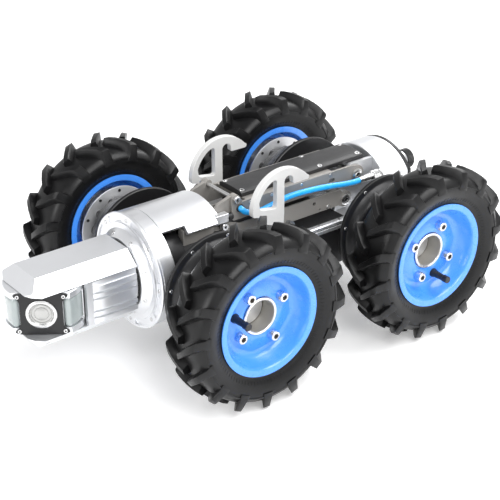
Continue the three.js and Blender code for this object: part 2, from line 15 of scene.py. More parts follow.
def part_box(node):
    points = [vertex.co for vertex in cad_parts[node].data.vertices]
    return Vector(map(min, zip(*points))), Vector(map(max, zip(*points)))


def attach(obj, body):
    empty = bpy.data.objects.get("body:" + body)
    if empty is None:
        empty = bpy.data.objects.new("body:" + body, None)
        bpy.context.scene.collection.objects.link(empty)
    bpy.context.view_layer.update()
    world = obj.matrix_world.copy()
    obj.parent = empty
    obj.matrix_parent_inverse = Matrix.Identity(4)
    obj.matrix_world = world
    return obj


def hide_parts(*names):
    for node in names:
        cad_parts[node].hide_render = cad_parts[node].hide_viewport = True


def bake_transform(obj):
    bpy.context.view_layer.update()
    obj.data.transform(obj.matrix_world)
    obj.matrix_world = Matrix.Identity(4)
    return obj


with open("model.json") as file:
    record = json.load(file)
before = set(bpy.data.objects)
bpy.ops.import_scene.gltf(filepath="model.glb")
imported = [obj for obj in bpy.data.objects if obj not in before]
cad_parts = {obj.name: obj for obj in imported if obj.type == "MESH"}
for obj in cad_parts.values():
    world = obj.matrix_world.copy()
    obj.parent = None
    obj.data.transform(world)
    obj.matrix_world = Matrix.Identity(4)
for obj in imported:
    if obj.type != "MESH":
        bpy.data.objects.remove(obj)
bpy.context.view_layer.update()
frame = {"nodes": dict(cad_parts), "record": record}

MM = 0.001
RAD = math.radians
HEAD_FRONT = 603
CHASSIS_FRONT = 250
LID_TOP = 213
SHIFT = Vector((
    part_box("chassis_tub")[1].x - CHASSIS_FRONT * MM,
    0,
    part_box("chassis_lid")[1].z - LID_TOP * MM,
))


def place(point):
    """A point in the working millimetres as a point in the frame, in metres."""
    return Vector(point) * MM + SHIFT


# ---- Materials ----
def node(tree, kind, **inputs):
    made = tree.nodes.new(kind)
    for name, value in inputs.items():
        made.inputs[name.replace("_", " ")].default_value = value
    return made


def material(name, colour, metallic=0.0, roughness=0.4, mottle=0.12, grime=0.1, grain=900.0,
             stretch=(1, 1, 1), bump=0.05, spread=0.08, coat=0.0, edge=None, extra=None):
    """One procedural finish: colour that drifts a little, uneven roughness and a fine grain.

    edge, if given, is the colour that rounded corners wear through to."""
    made = bpy.data.materials.new(name)
    made.use_nodes = True
    tree = made.node_tree
    link = tree.links.new
    shader = tree.nodes["Principled BSDF"]
    shader.inputs["Metallic"].default_value = metallic
    if coat:
        shader.inputs["Coat Weight"].default_value = coat
        shader.inputs["Coat Roughness"].default_value = 0.12
    for socket, value in (extra or {}).items():
        shader.inputs[socket].default_value = value
    where = tree.nodes.new("ShaderNodeTexCoord")

    def noise(scale, detail, squeeze=(1, 1, 1)):
        mapping = tree.nodes.new("ShaderNodeMapping")
        mapping.inputs["Scale"].default_value = squeeze
        link(where.outputs["Object"], mapping.inputs["Vector"])
        texture = node(tree, "ShaderNodeTexNoise", Scale=scale, Detail=detail)
        link(mapping.outputs["Vector"], texture.inputs["Vector"])
        return texture.outputs["Fac"]

    def ramp(source, low, high, start=0.35, stop=0.65):
        made_ramp = node(
            tree, "ShaderNodeMapRange", From_Min=start, From_Max=stop, To_Min=low, To_Max=high)
        link(source, made_ramp.inputs["Value"])
        return made_ramp.outputs["Result"]

    broad = noise(14, 3)
    fine = noise(grain, 2, stretch)
    darker = tuple(c * (1 - grime) for c in colour[:3]) + (1,)
    lighter = tuple(min(1, c * (1 + mottle * 0.5)) for c in colour[:3]) + (1,)
    mix = tree.nodes.new("ShaderNodeMix")
    mix.data_type = "RGBA"
    mix.inputs["A"].default_value = darker
    mix.inputs["B"].default_value = lighter
    link(ramp(broad, 0, 1), mix.inputs["Factor"])
    colour_out = mix.outputs["Result"]
    if edge:
        rounded = node(tree, "ShaderNodeBevel", Radius=0.0012)
        geometry = tree.nodes.new("ShaderNodeNewGeometry")
        dot = tree.nodes.new("ShaderNodeVectorMath")
        dot.operation = "DOT_PRODUCT"
        link(rounded.outputs["Normal"], dot.inputs[0])
        link(geometry.outputs["Normal"], dot.inputs[1])
        worn = tree.nodes.new("ShaderNodeMath")
        worn.operation = "MULTIPLY"
        link(ramp(dot.outputs["Value"], 0.8, 0, 0.86, 0.985), worn.inputs[0])
        link(ramp(noise(60, 4), 0.25, 1), worn.inputs[1])
        wear = tree.nodes.new("ShaderNodeMix")
        wear.data_type = "RGBA"
        wear.inputs["B"].default_value = (*edge, 1)
        link(colour_out, wear.inputs["A"])
        link(worn.outputs["Value"], wear.inputs["Factor"])
        colour_out = wear.outputs["Result"]
    link(colour_out, shader.inputs["Base Color"])
    uneven = tree.nodes.new("ShaderNodeMath")
    uneven.operation = "ADD"
    link(ramp(noise(45, 4), -spread, spread), uneven.inputs[0])
    link(ramp(fine, roughness - spread / 2, roughness + spread / 2), uneven.inputs[1])
    link(uneven.outputs["Value"], shader.inputs["Roughness"])
    if bump:
        height = node(tree, "ShaderNodeBump", Strength=bump, Distance=0.0004)
        link(fine, height.inputs["Height"])
        link(height.outputs["Normal"], shader.inputs["Normal"])
    return made


BRIGHT = (0.83, 0.84, 0.86)
MATERIALS = {
    "tyre_rubber": material(
        "tyre_rubber", (0.006, 0.006, 0.0063), roughness=0.36, mottle=0.4, grime=0.2, grain=1400,
        bump=0.12, spread=0.06, extra={"Specular IOR Level": 0.27}),
    "belt_rubber": material("belt_rubber", (0.012, 0.012, 0.013), roughness=0.6, bump=0.2),
    "blue_paint": material(
        "blue_paint", (0.062, 0.29, 0.93), roughness=0.28, mottle=0.05, grime=0.03, grain=520,
        bump=0.04, spread=0.02, coat=0.5),
    "white_paint": material(
        "white_paint", (0.8, 0.8, 0.79), metallic=0.35, roughness=0.4, grain=700, bump=0.04,
        mottle=0.03, grime=0.03, spread=0.03, edge=(0.85, 0.85, 0.85)),
    "zinc_steel": material(
        "zinc_steel", (0.72, 0.72, 0.72), metallic=1, roughness=0.28, grain=800, bump=0.03,
        mottle=0.03, grime=0.05, spread=0.02),
    # darker, less metallic steel for a sheet inside the hub bores: painted shade in the deep bore
    "shaded_bore_steel": material(
        "shaded_bore_steel", (0.36, 0.345, 0.315), metallic=0.4, roughness=0.5, grain=500,
        stretch=(1, 10, 1), bump=0.05, mottle=0.04, grime=0.05, spread=0.03),
    "bright_aluminium": material(
        "bright_aluminium", BRIGHT, metallic=0.85, roughness=0.36, grain=1100, bump=0.03, mottle=0.02,
        grime=0.02, spread=0.015),
    "turned_aluminium": material(
        "turned_aluminium", BRIGHT, metallic=0.85, roughness=0.33, grain=260, stretch=(14, 1, 1),
        bump=0.04, mottle=0.03, grime=0.04, spread=0.02),
    "grey_anodised": material(
        "grey_anodised", (0.33, 0.315, 0.295), metallic=0.35, roughness=0.48, grain=260,
        stretch=(0.3, 4, 4), bump=0.05, mottle=0.05, grime=0.06, spread=0.03, edge=(0.6, 0.59, 0.57)),
    "black_anodised": material(
        "black_anodised", (0.014, 0.014, 0.015), metallic=0.3, roughness=0.36, grain=900,
        bump=0.08, grime=0.15, spread=0.04, edge=(0.07, 0.07, 0.07)),
    "black_plastic": material(
        "black_plastic", (0.018, 0.018, 0.019), roughness=0.4, grain=1300, bump=0.12, grime=0.15,
        spread=0.04),
    "cable_jacket": material(
        "cable_jacket", (0.02, 0.4, 0.92), roughness=0.28, grain=700, bump=0.03, grime=0.05,
        spread=0.03, coat=0.4),
    "clear_glass": material(
        "clear_glass", (0.42, 0.47, 0.47), roughness=0.2, grain=300, bump=0.02, mottle=0.1,
        spread=0.02, coat=1.0, extra={"Transmission Weight": 0.25, "IOR": 1.46}),
    "lens_grey": material(
        "lens_grey", (0.4, 0.4, 0.39), metallic=0.3, roughness=0.22, grain=300, bump=0.02,
        mottle=0.1, spread=0.02, coat=1.0),
    # near-black: painted shade on the floors of screw and pin sockets, and the black of the seal ring
    "socket_shade_and_seal_black": material("socket_shade_and_seal_black", (0.008, 0.008, 0.009), roughness=0.7, bump=0.1),
    # dark brown: painted shade at the floor of the wheel bolts' hex sockets
    "bolt_socket_shade": material("bolt_socket_shade", (0.035, 0.026, 0.02), roughness=0.6, bump=0.1),
    "valve_rubber": material(
        "valve_rubber", (0.012, 0.012, 0.013), roughness=0.42, bump=0.1, spread=0.04),
}


# ---- Mesh building, in millimetres ----
SHARP_ANGLE = 38
HAIR = 0.01


def lathe(profile, steps, axis="y", centre=(0, 0, 0)):
    """A closed profile of (radius, distance along the axis) turned round an axis."""
    verts = []
    faces = []
    count = len(profile)
    for i in range(steps):
        angle = 2 * math.pi * i / steps
        for radius, along in profile:
            across = (radius * math.cos(angle), radius * math.sin(angle))
            point = {
                "x": (along, across[0], across[1]),
                "y": (across[0], along, across[1]),
                "z": (across[0], across[1], along),
            }[axis]
            verts.append(tuple(a + b for a, b in zip(point, centre)))
    for i in range(steps):
        for k in range(count):
            here, there = i * count, ((i + 1) % steps) * count
            after = (k + 1) % count
            faces.append((here + k, here + after, there + after, there + k))
    return verts, faces


def prism(outline, low, high, axis="y", holes=()):
    """A flat outline, with holes, given thickness along an axis."""
    loops = [list(outline)] + [list(h) for h in holes]
    flat = [p for loop in loops for p in loop]
    triangles = tessellate_polygon([[Vector((a, b, 0)) for a, b in loop] for loop in loops])

    def lift(point, along):
        a, b = point
        return {"x": (along, a, b), "y": (a, along, b), "z": (a, b, along)}[axis]

    verts = [lift(p, low) for p in flat] + [lift(p, high) for p in flat]
    size = len(flat)
    faces = [tuple(t) for t in triangles] + [tuple(i + size for i in t) for t in triangles]
    start = 0
    for loop in loops:
        for i in range(len(loop)):
            a, b = start + i, start + (i + 1) % len(loop)
            faces.append((a, b, b + size, a + size))
        start += len(loop)
    return verts, faces


def block(x, y, z):
    return prism([(x[0], z[0]), (x[1], z[0]), (x[1], z[1]), (x[0], z[1])], y[0], y[1])


def arc(cx, cz, radius, start, stop, steps):
    return [
        (cx + radius * math.cos(RAD(start + (stop - start) * i / steps)),
         cz + radius * math.sin(RAD(start + (stop - start) * i / steps)))
        for i in range(steps + 1)
    ]


def circle(cx, cz, radius, steps=32):
    return arc(cx, cz, radius, 0, 360 - 360 / steps, steps - 1)


def disc(radius, low, high, edge=0.0):
    """Profile of a solid disc for lathe(); it stops just short of the axis."""
    if not edge:
        return [(HAIR, low), (radius, low), (radius, high), (HAIR, high)]
    return [
        (HAIR, low), (radius - edge, low), (radius, low + edge), (radius, high - edge),
        (radius - edge, high), (HAIR, high),
    ]


def moved(shape, matrix):
    verts, faces = shape
    return [tuple(matrix @ Vector(v)) for v in verts], faces


def merged(*shapes):
    verts = []
    faces = []
    for shape_verts, shape_faces in shapes:
        base = len(verts)
        verts += list(shape_verts)
        faces += [tuple(i + base for i in f) for f in shape_faces]
    return verts, faces


def piece(name, shape, body, finish, bevel=0.0, stands_for=(), smooth=SHARP_ANGLE, segments=2):
    """Makes an object from shapes in millimetres, rounds its edges and rides it on a body."""
    verts, faces = shape
    mesh = bpy.data.meshes.new(name)
    mesh.from_pydata([place(v) for v in verts], [], faces)
    work = bmesh.new()
    work.from_mesh(mesh)
    bmesh.ops.remove_doubles(work, verts=work.verts, dist=2e-6)
    bmesh.ops.dissolve_degenerate(work, edges=work.edges, dist=1e-6)
    bmesh.ops.dissolve_limit(
        work, angle_limit=RAD(0.4), verts=work.verts, edges=work.edges, delimit={"NORMAL"})
    bmesh.ops.recalc_face_normals(work, faces=work.faces)
    for face in work.faces:
        face.smooth = True
    for edge in work.edges:
        if len(edge.link_faces) != 2 or edge.calc_face_angle(0) > RAD(smooth):
            edge.smooth = False
    work.to_mesh(mesh)
    work.free()
    made = bpy.data.objects.new(name, mesh)
    bpy.context.scene.collection.objects.link(made)
    mesh.materials.append(MATERIALS[finish])
    if bevel:
        rounding = made.modifiers.new("edges", "BEVEL")
        rounding.width = bevel * MM
        rounding.segments = segments
        rounding.limit_method = "ANGLE"
        rounding.angle_limit = RAD(32)
        rounding.harden_normals = True
        rounding.use_clamp_overlap = True
    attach(made, body)
    if stands_for:
        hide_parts(*stands_for)
    return made


def carve(target, shape, name):
    """Cuts a shape out of an object; the cutter isn't kept."""
    verts, faces = shape
    mesh = bpy.data.meshes.new(name)
    mesh.from_pydata([place(v) for v in verts], [], faces)
    work = bmesh.new()
    work.from_mesh(mesh)
    bmesh.ops.remove_doubles(work, verts=work.verts, dist=1e-6)
    bmesh.ops.recalc_face_normals(work, faces=work.faces)
    work.to_mesh(mesh)
    work.free()
    cutter = bpy.data.objects.new(name, mesh)
    bpy.context.scene.collection.objects.link(cutter)
    cut = target.modifiers.new("carve", "BOOLEAN")
    cut.operation = "DIFFERENCE"
    cut.solver = "EXACT"
    cut.object = cutter
    order = [m.name for m in target.modifiers]
    target.modifiers.move(order.index(cut.name), 0)
    bpy.context.view_layer.objects.active = target
    with bpy.context.temp_override(object=target, active_object=target):
        bpy.ops.object.modifier_apply(modifier=cut.name)
    bpy.data.objects.remove(cutter)
    work = bmesh.new()
    work.from_mesh(target.data)
    for face in work.faces:
        face.smooth = True
    for edge in work.edges:
        edge.smooth = not (len(edge.link_faces) != 2 or edge.calc_face_angle(0) > RAD(SHARP_ANGLE))
    work.to_mesh(target.data)
    work.free()


def aim(direction, at):
    """Matrix that takes +Z at the origin to a direction at a point."""
    turn = Vector((0, 0, 1)).rotation_difference(Vector(direction)).to_matrix().to_4x4()
    return Matrix.Translation(Vector(at)) @ turn


def screws(name, places, body, radius=3.2, height=2.4, finish="zinc_steel"):
    """Screw heads at (point, outward direction) pairs, each with a dark disc at its socket floor as painted
    shade.
    """
    heads = []
    sockets = []
    for at, out in places:
        heads.append(moved(lathe([
            (radius * 0.46, height), (radius * 0.9, height), (radius, height * 0.7), (radius, -0.6),
            (HAIR, -0.6), (HAIR, height - radius * 0.5), (radius * 0.46, height - radius * 0.5),
        ], 20, "z"), aim(out, at)))
        # a thin dark disc at the socket floor: painted shade in the hole
        sockets.append(moved(
            lathe(disc(radius * 0.45, 0, 0.2), 6, "z"),
            aim(out, at) @ Matrix.Translation((0, 0, height - radius * 0.5 + 0.1))))
    piece(name, merged(*heads), body, finish)
    piece(name + "_sockets", merged(*sockets), body, "socket_shade_and_seal_black")


# ---- Wheels ----
WHEELBASE = 447
TRACK = 538
TYRE_RADIUS = 189.2
LUGS = 16
TURN = {"front_left": -30.4, "rear_left": -152.8, "front_right": -30.4, "rear_right": 71.0}
SIDES = (("left", 1), ("right", -1))
ENDS = (("front", 1), ("rear", -1))


def wheel_matrix(key):
    end, side = key.split("_")
    forward = 1 if end == "front" else -1
    out = 1 if side == "left" else -1
    place_it = Matrix.Translation((forward * WHEELBASE / 2, out * TRACK / 2, TYRE_RADIUS))
    return place_it @ Matrix.Scale(out, 4, (0, 1, 0)) @ Matrix.Rotation(-RAD(TURN[key]), 4, "Y")


CARCASS = [
    (103.5, 33), (104, 35.6), (113, 36.0), (117, 38.2), (120, 38.4), (122, 40.6), (130, 44.6),
    (140, 48.4), (148, 49.9), (153.5, 49.4), (155, 50.9), (157, 50.6), (160, 47.6), (165, 44.2),
    (169.5, 36), (172, 24), (173, 10),
]
RIBS = 96
RIB_START = 123
TYRE_INSIDE = [(166, 8), (162, 30), (148, 43), (130, 38), (112, 28), (103.5, 25)]


def lug_shape(side, index):
    """One raked tread bar: flat top, drafted flanks, dropping over the shoulder."""
    pitch = 360 / LUGS
    start = pitch * (index + (0 if side > 0 else 0.5))
    # share of the rake, distance from the centre, root radius, top radius, half top, half root
    stations = (
        (0.00, -3.0, 168, 187.8, 7.0, 10.6), (0.22, 9.0, 168, 189.2, 7.4, 11.2),
        (0.50, 22.0, 166, 189.1, 7.8, 11.8), (0.75, 34.0, 162, 187.8, 8.2, 12.2),
        (0.90, 42.5, 155, 185.6, 8.4, 12.4), (0.96, 45.6, 152, 183.0, 8.4, 12.4),
        (1.00, 51.2, 149, 164.0, 8.4, 12.0), (1.01, 51.9, 148, 154.5, 8.2, 11.4),
    )
    verts = []
    for share, y, root, top, half_top, half_root in stations:
        centre = start + share * 0.56 * pitch
        for half, radius in ((half_root, root), (half_root * 0.94, (root + top) / 2 - 3),
                             (half_top, top - 0.8), (half_top - 0.8, top)):
            angle = math.degrees(half / radius)
            verts.append((centre - angle, y, radius))
        for half, radius in ((half_top - 0.8, top), (half_top, top - 0.8),
                             (half_root * 0.94, (root + top) / 2 - 3), (half_root, root)):
            angle = math.degrees(half / radius)
            verts.append((centre + angle, y, radius))
    ring = 8
    faces = [tuple(range(ring)), tuple(ring * (len(stations) - 1) + i for i in reversed(range(ring)))]
    for s in range(len(stations) - 1):
        for k in range(ring):
            after = (k + 1) % ring
            faces.append((ring * s + k, ring * s + ring + k, ring * s + ring + after, ring * s + after))
    points = [
        (radius * math.cos(RAD(angle)), side * y, radius * math.sin(RAD(angle)))
        for angle, y, radius in verts
    ]
    return points, faces


def tyre_shape():
    profile = CARCASS + [(r, -y) for r, y in reversed(CARCASS)]
    inside = [(r, -y) for r, y in reversed(TYRE_INSIDE)] + TYRE_INSIDE
    carcass = lathe(profile + inside, 128)
    lugs = [lug_shape(side, i) for i in range(LUGS) for side in (1, -1)]
    # fine radial ribs round both sidewalls
    rib = prism([(RIB_START, -0.7), (131, -0.7), (131, 0.7), (RIB_START, 0.7)], 0, 1.0)
    tilt = Matrix.Translation((RIB_START, 40.6, 0)) @ Matrix.Rotation(RAD(26), 4, "Z") @ \
        Matrix.Translation((-RIB_START, 0, 0))
    ribs = []
    for i in range(RIBS):
        spin = Matrix.Rotation(2 * math.pi * i / RIBS, 4, "Y")
        for side in (1, -1):
            ribs.append(moved(rib, Matrix.Scale(side, 4, (0, 1, 0)) @ spin @ tilt))
    return carcass, merged(*lugs), merged(*ribs)


RIM_PROFILE = [
    (114, 40), (114, 37.6), (112.5, 35.6), (104.5, 34.8), (102.4, 32), (102, 24), (96, 14), (92.5, 8),
    (92.5, -8), (96, -14), (102, -24), (102.4, -32), (104.5, -34.8), (112.5, -35.6), (114, -37.6),
    (114, -40), (112, -40.3), (101, -39), (98.6, -36), (98.2, -26), (90, -10), (86, -0.2),
    (40.2, -0.2), (40.2, 6.3), (44, 6.5), (69, 6.5), (73, 3.8), (80, 3.8), (85, 6.5), (88.6, 12),
    (97.8, 27), (98.6, 35.4), (101.6, 38.8), (112, 40.3),
]


def hub_shapes():
    tube = lathe([
        (34, -38), (38.2, -38), (39, -37), (39, -9), (75.4, -9), (76, -8.4), (76, -0.6), (75.6, -0.3),
        (39, -0.3), (39, 9.4), (38.2, 10.2), (34.6, 10.2), (34, 9.6),
    ], 96)
    # a thin sheet just inside the bore, given a darker steel finish as painted shade in the hub bore
    bore_shade_sheet = lathe([(33, -37.6), (33.9, -38), (33.9, 9.4), (33, 9.0)], 96)
    return tube, bore_shade_sheet


def bolt_shape():
    """A socket head cap screw standing along +Z from the rim's disc."""
    hexagon = [(6.0 * math.cos(RAD(60 * i)), 6.0 * math.sin(RAD(60 * i))) for i in range(6)]
    side = lathe([
        (7, 0.2), (10.0, 0.2), (10.2, 0.6), (10.2, 13.6), (9.4, 14.8), (8.6, 15.2), (7, 15.2),
    ], 40, "z")
    cap = prism(circle(0, 0, 7.2, 32), 8.0, 15.2, "z", [hexagon[::-1]])
    # the socket floor gets a dark brown finish: painted shade at the bottom of the hex socket
    floor = lathe(disc(7.1, 7.2, 8.1), 24, "z")
    return merged(side, cap), floor


VALVE_TURN = 45


def valve_shape():
    stem = lathe([
        (0.01, 0), (9.6, 0), (9.6, 2.5), (8.2, 6), (7.4, 10), (6.6, 27), (6.2, 31), (7.6, 32.4),
        (7.6, 44.2), (6.6, 45.4), (0.01, 45.4),
    ], 28)
    return moved(stem, Matrix.Translation((62, 6.5, 0)))


LOBES = 10


def drive_flange_shapes():
    scallops = []
    for i in range(LOBES):
        turn = 360 * i / LOBES
        cx, cz = 58 * math.cos(RAD(turn)), 58 * math.sin(RAD(turn))
        scallops += arc(cx, cz, 11, turn - 80, turn + 80, 10)
    clamp = prism(scallops, -53, -43.8, "y")
    plate = lathe([
        (20, -44), (88.8, -44), (90, -43.2), (90, -41), (89.6, -40.5), (20, -40.5),
    ], 96)
    shaft = lathe(disc(18, -162.8, -52, 1), 48)
    return clamp, plate, shaft


def build_wheels():
    carcass, lugs, ribs = tyre_shape()
    rim = lathe(RIM_PROFILE, 128)
    hub, bore_shade_sheet = hub_shapes()
    bolt, bolt_floor = bolt_shape()
    clamp, plate, shaft = drive_flange_shapes()
    seat = lathe([(0.01, -40.6), (32, -40.6), (32, -27), (31, -26), (0.01, -26)], 64)
    valve = valve_shape()
    for key in TURN:
        body = f"wheel_{key}"
        at = wheel_matrix(key)
        out = Matrix.Rotation(-math.pi / 2, 4, "X")
        piece(f"tyre_carcass_{key}", moved(carcass, at), body, "tyre_rubber",
              stands_for=[f"tyre_{key}"], smooth=50)
        piece(f"tyre_lugs_{key}", moved(lugs, at), body, "tyre_rubber", smooth=30)
        piece(f"tyre_ribs_{key}", moved(ribs, at), body, "tyre_rubber")
        piece(f"rim_shell_{key}", moved(rim, at), body, "blue_paint", stands_for=[f"rim_{key}"])
        piece(f"hub_tube_{key}", moved(hub, at), body, "zinc_steel", stands_for=[f"hub_{key}"])
        # darker sheet inside the bore: painted shade
        piece(f"hub_bore_shade_sheet_{key}", moved(bore_shade_sheet, at), body, "shaded_bore_steel")
        bolts = []
        floors = []
        for i in range(4):
            spot = at @ Matrix.Rotation(RAD(90 * i), 4, "Y") @ Matrix.Translation((57.5, 6.5, 0)) @ out
            bolts.append(moved(bolt, spot))
            floors.append(moved(bolt_floor, spot))
        piece(f"wheel_bolts_{key}", merged(*bolts), body, "zinc_steel")
        piece(f"wheel_bolt_sockets_{key}", merged(*floors), body, "bolt_socket_shade")
        turned = at @ Matrix.Rotation(-RAD(VALVE_TURN), 4, "Y")
        piece(f"valve_{key}", moved(valve, turned), body, "valve_rubber")
        piece(f"drive_plate_{key}", moved(merged(plate, seat), at), body, "turned_aluminium",
              stands_for=[f"drive_flange_{key}"])
        piece(f"clamp_ring_{key}", moved(clamp, at), body, "black_anodised", bevel=0.8)
        piece(f"axle_{key}", moved(shaft, at), body, "zinc_steel")
        rows = []
        for i in range(LOBES):
            turn = RAD(360 * (i + 0.5) / LOBES)
            rows.append((at @ Vector((81 * math.cos(turn), -44, 81 * math.sin(turn))),
                         at.to_3x3() @ Vector((0, -1, 0))))
        screws(f"plate_screws_{key}", rows, body, 3.4, 1.6, "black_anodised")
        heads = []
        for i in range(LOBES):
            turn = RAD(360 * i / LOBES)
            heads.append((at @ Vector((60 * math.cos(turn), -53, 60 * math.sin(turn))),
                          at.to_3x3() @ Vector((0, -1, 0))))
        screws(f"clamp_screws_{key}", heads, body, 4.2, 3.2, "black_anodised")


build_wheels()


# ---- Final drives ----
FINAL_DRIVE = [
    (0.01, 92.4), (44, 92.4), (45, 93.4), (45, 127), (117.6, 127), (119, 128.4), (119, 134.6),
    (117.6, 136), (110, 137), (105.5, 140), (101, 152), (96.5, 159.5), (91, 162), (88, 168), (84.5, 186),
    (80, 194), (77, 196.5), (72.6, 211), (70, 214), (20, 214),
    (20, 104), (0.01, 104),
]
final_drive = lathe(FINAL_DRIVE, 128)
for end, forward in ENDS:
    for side_name, side in SIDES:
        key = f"{end}_{side_name}"
        at = Matrix.Translation((forward * WHEELBASE / 2, 0, TYRE_RADIUS)) @ \
            Matrix.Scale(side, 4, (0, 1, 0))
        piece(f"final_drive_case_{key}", moved(final_drive, at), "chassis", "black_anodised",
              stands_for=[f"final_drive_{key}"])
        bolts = [
            (at @ Vector((112 * math.cos(RAD(a)), 136, 112 * math.sin(RAD(a)))), (0, side, 0))
            for a in range(15, 375, 45)
        ]
        screws(f"final_drive_screws_{key}", bolts, "chassis", 4.0, 2.6, "zinc_steel")


# ---- Chassis ----
HALF = 92
CHASSIS_REAR = -335
tub_section = [
    (-HALF, 205), (-HALF, 122), (-86, 108), (-70, 98), (70, 98), (86, 108), (HALF, 122), (HALF, 205),
]
tub = piece("tub_shell", prism(tub_section, CHASSIS_REAR, CHASSIS_FRONT, "x"), "chassis",
            "black_anodised", bevel=1.6, stands_for=["chassis_tub"])
carve(tub, block((CHASSIS_REAR + 8, CHASSIS_FRONT - 8), (-84, 84), (110, 220)), "tub_inside")
lid_section = [
    (-HALF, 205.3), (HALF, 205.3), (HALF, 210.5), (89.5, LID_TOP), (-89.5, LID_TOP), (-HALF, 210.5),
]
piece("lid_plate", prism(lid_section, CHASSIS_REAR, CHASSIS_FRONT, "x"), "chassis",
      "bright_aluminium", bevel=0.5, stands_for=["chassis_lid"])
piece("lid_inlay", block((-160, 248), (-80, 80), (LID_TOP, LID_TOP + 1.2)), "chassis", "black_anodised",
      bevel=0.5)
screws("lid_screws", [
    ((x, s * 85.5, LID_TOP), (0, 0, 1)) for x in range(-140, 250, 54) for s in (1, -1)],
    "chassis", 3.0, 1.8)
for side_name, side in SIDES:
    ledge = block((-330, 245), tuple(sorted((side * 92.2, side * 94.4))), (196, 204))
    piece(f"side_rail_{side_name}", ledge, "chassis", "bright_aluminium", bevel=0.6)


# ---- Rear housing ----
HOUSING_RADIUS = 115
CAMERA_Z = 210
ROLL_CENTRE = (0, 0, CAMERA_Z)
BACK_FACE = -344
ROOF = math.degrees(math.acos(HALF / HOUSING_RADIUS))
roof = arc(0, CAMERA_Z, HOUSING_RADIUS, ROOF, 180 - ROOF, 48)
piece(
    "housing_shell", prism([(HALF, 213.3)] + roof + [(-HALF, 213.3)], CHASSIS_REAR, -266, "x"), "chassis",
    "bright_aluminium", bevel=2.4, stands_for=["rear_housing"], segments=3)
back = [(HALF, 120)] + roof + [(-HALF, 120), (-70, 98), (70, 98)]
piece("back_plate", prism(back, BACK_FACE, -335.3, "x"), "chassis", "black_anodised", bevel=1.2,
      stands_for=["rear_plate"])
rim_screws = [
    ((BACK_FACE, 104 * math.cos(RAD(a)), CAMERA_Z + 104 * math.sin(RAD(a))), (-1, 0, 0))
    for a in (42, 66, 90, 114, 138)
]
lower_spots = ((82, 200), (-82, 200), (82, 150), (-82, 150), (60, 107), (0, 107), (-60, 107))
rim_screws += [((BACK_FACE, y, z), (-1, 0, 0)) for y, z in lower_spots]
screws("back_plate_screws", rim_screws, "chassis", 3.6, 2.4)
TETHER_Z = 254
piece("socket_body", lathe([
    (0.01, -404), (20.4, -404), (21, -403), (21, -398), (19.6, -397), (19.6, -392), (21, -391), (21, -372),
    (19, -370), (19, -362), (24, -360), (27, -358), (27, -346), (26, -344.3), (0.01, -344.3),
], 64, "x", (0, 0, TETHER_Z)), "chassis", "turned_aluminium", stands_for=["tether_socket"])
knurl = []
for i in range(48):
    a = 360 * i / 48
    knurl += [(23 * math.cos(RAD(a)), TETHER_Z + 23 * math.sin(RAD(a))),
              (21.8 * math.cos(RAD(a + 3.75)), TETHER_Z + 21.8 * math.sin(RAD(a + 3.75)))]
piece("socket_cap", merged(
    prism(knurl, -422, -404.4, "x"),
    lathe([(0.01, -426), (18, -426), (21, -423.6), (21.4, -422.1), (0.01, -422.1)], 48, "x",
          (0, 0, TETHER_Z)),
), "chassis", "black_plastic", stands_for=["tether_cap"])


# ---- Hooks ----
HOOK = (33, 307)
HOOK_FACE = 112
hook_outline = [(36, 200), (76, 200), (80, 288), (96, 296.5), (110.5, 300)] + arc(*HOOK, 80, 0, 140, 48) + \
    arc(-27.5, 353.5, 5.5, 150, 262, 8) + [(4, 348.6)] + arc(5.5, 352, 3.5, 280, 360, 4) + \
    arc(20.5, 357.5, 11.5, 172, 8, 14) + [(32, 350), (32, 290)]
hook_window = arc(57, 310, 5.5, 180, 265, 6) + arc(88, 317, 7, 280, 340, 6) + arc(*HOOK, 67, 18, 62, 18) + \
    arc(57.5, 362, 6, 80, 180, 6)
for side_name, side in SIDES:
    low, high = sorted((side * 99, side * HOOK_FACE))
    piece(f"hook_plate_{side_name}", prism(hook_outline, low, high, "y", [hook_window[::-1]]), "chassis",
          "white_paint", bevel=2.2, stands_for=[f"hook_{side_name}"], segments=3)
    low, high = sorted((side * 92.3, side * 111.4))
    piece(f"hook_foot_{side_name}", block((42, 99), (low, high), (141, 201)), "chassis",
          "black_anodised", bevel=2.0)
    spots = [((x, side * HOOK_FACE, z), (0, side, 0)) for x in (52, 90) for z in (212, 240)]
    screws(f"hook_screws_{side_name}", spots, "chassis", 5.0, 3.4)


# ---- Lift ----
REAR_UPPER = (-215, 289)
REAR_LOWER = (-184, 238)
FRONT_UPPER = (112.5, 321)
FRONT_LOWER = (143.5, 270)
ARM = (50, 55)
for side_name, side in SIDES:
    low, high = sorted((side * 40, side * 48.6))
    bracket = [(-265.5, 213.4), (-160, 213.4), (-160, 240)] + arc(-208, 301, 12, 20, 90, 8) + [(-265.5, 313)]
    piece(f"lift_cheek_{side_name}", prism(bracket, low, high, "y", [
        circle(*REAR_UPPER, 7.9, 24)[::-1], circle(*REAR_LOWER, 7.9, 24)[::-1]]),
        "chassis", "bright_aluminium", bevel=1.2, stands_for=[f"lift_bracket_{side_name}"])


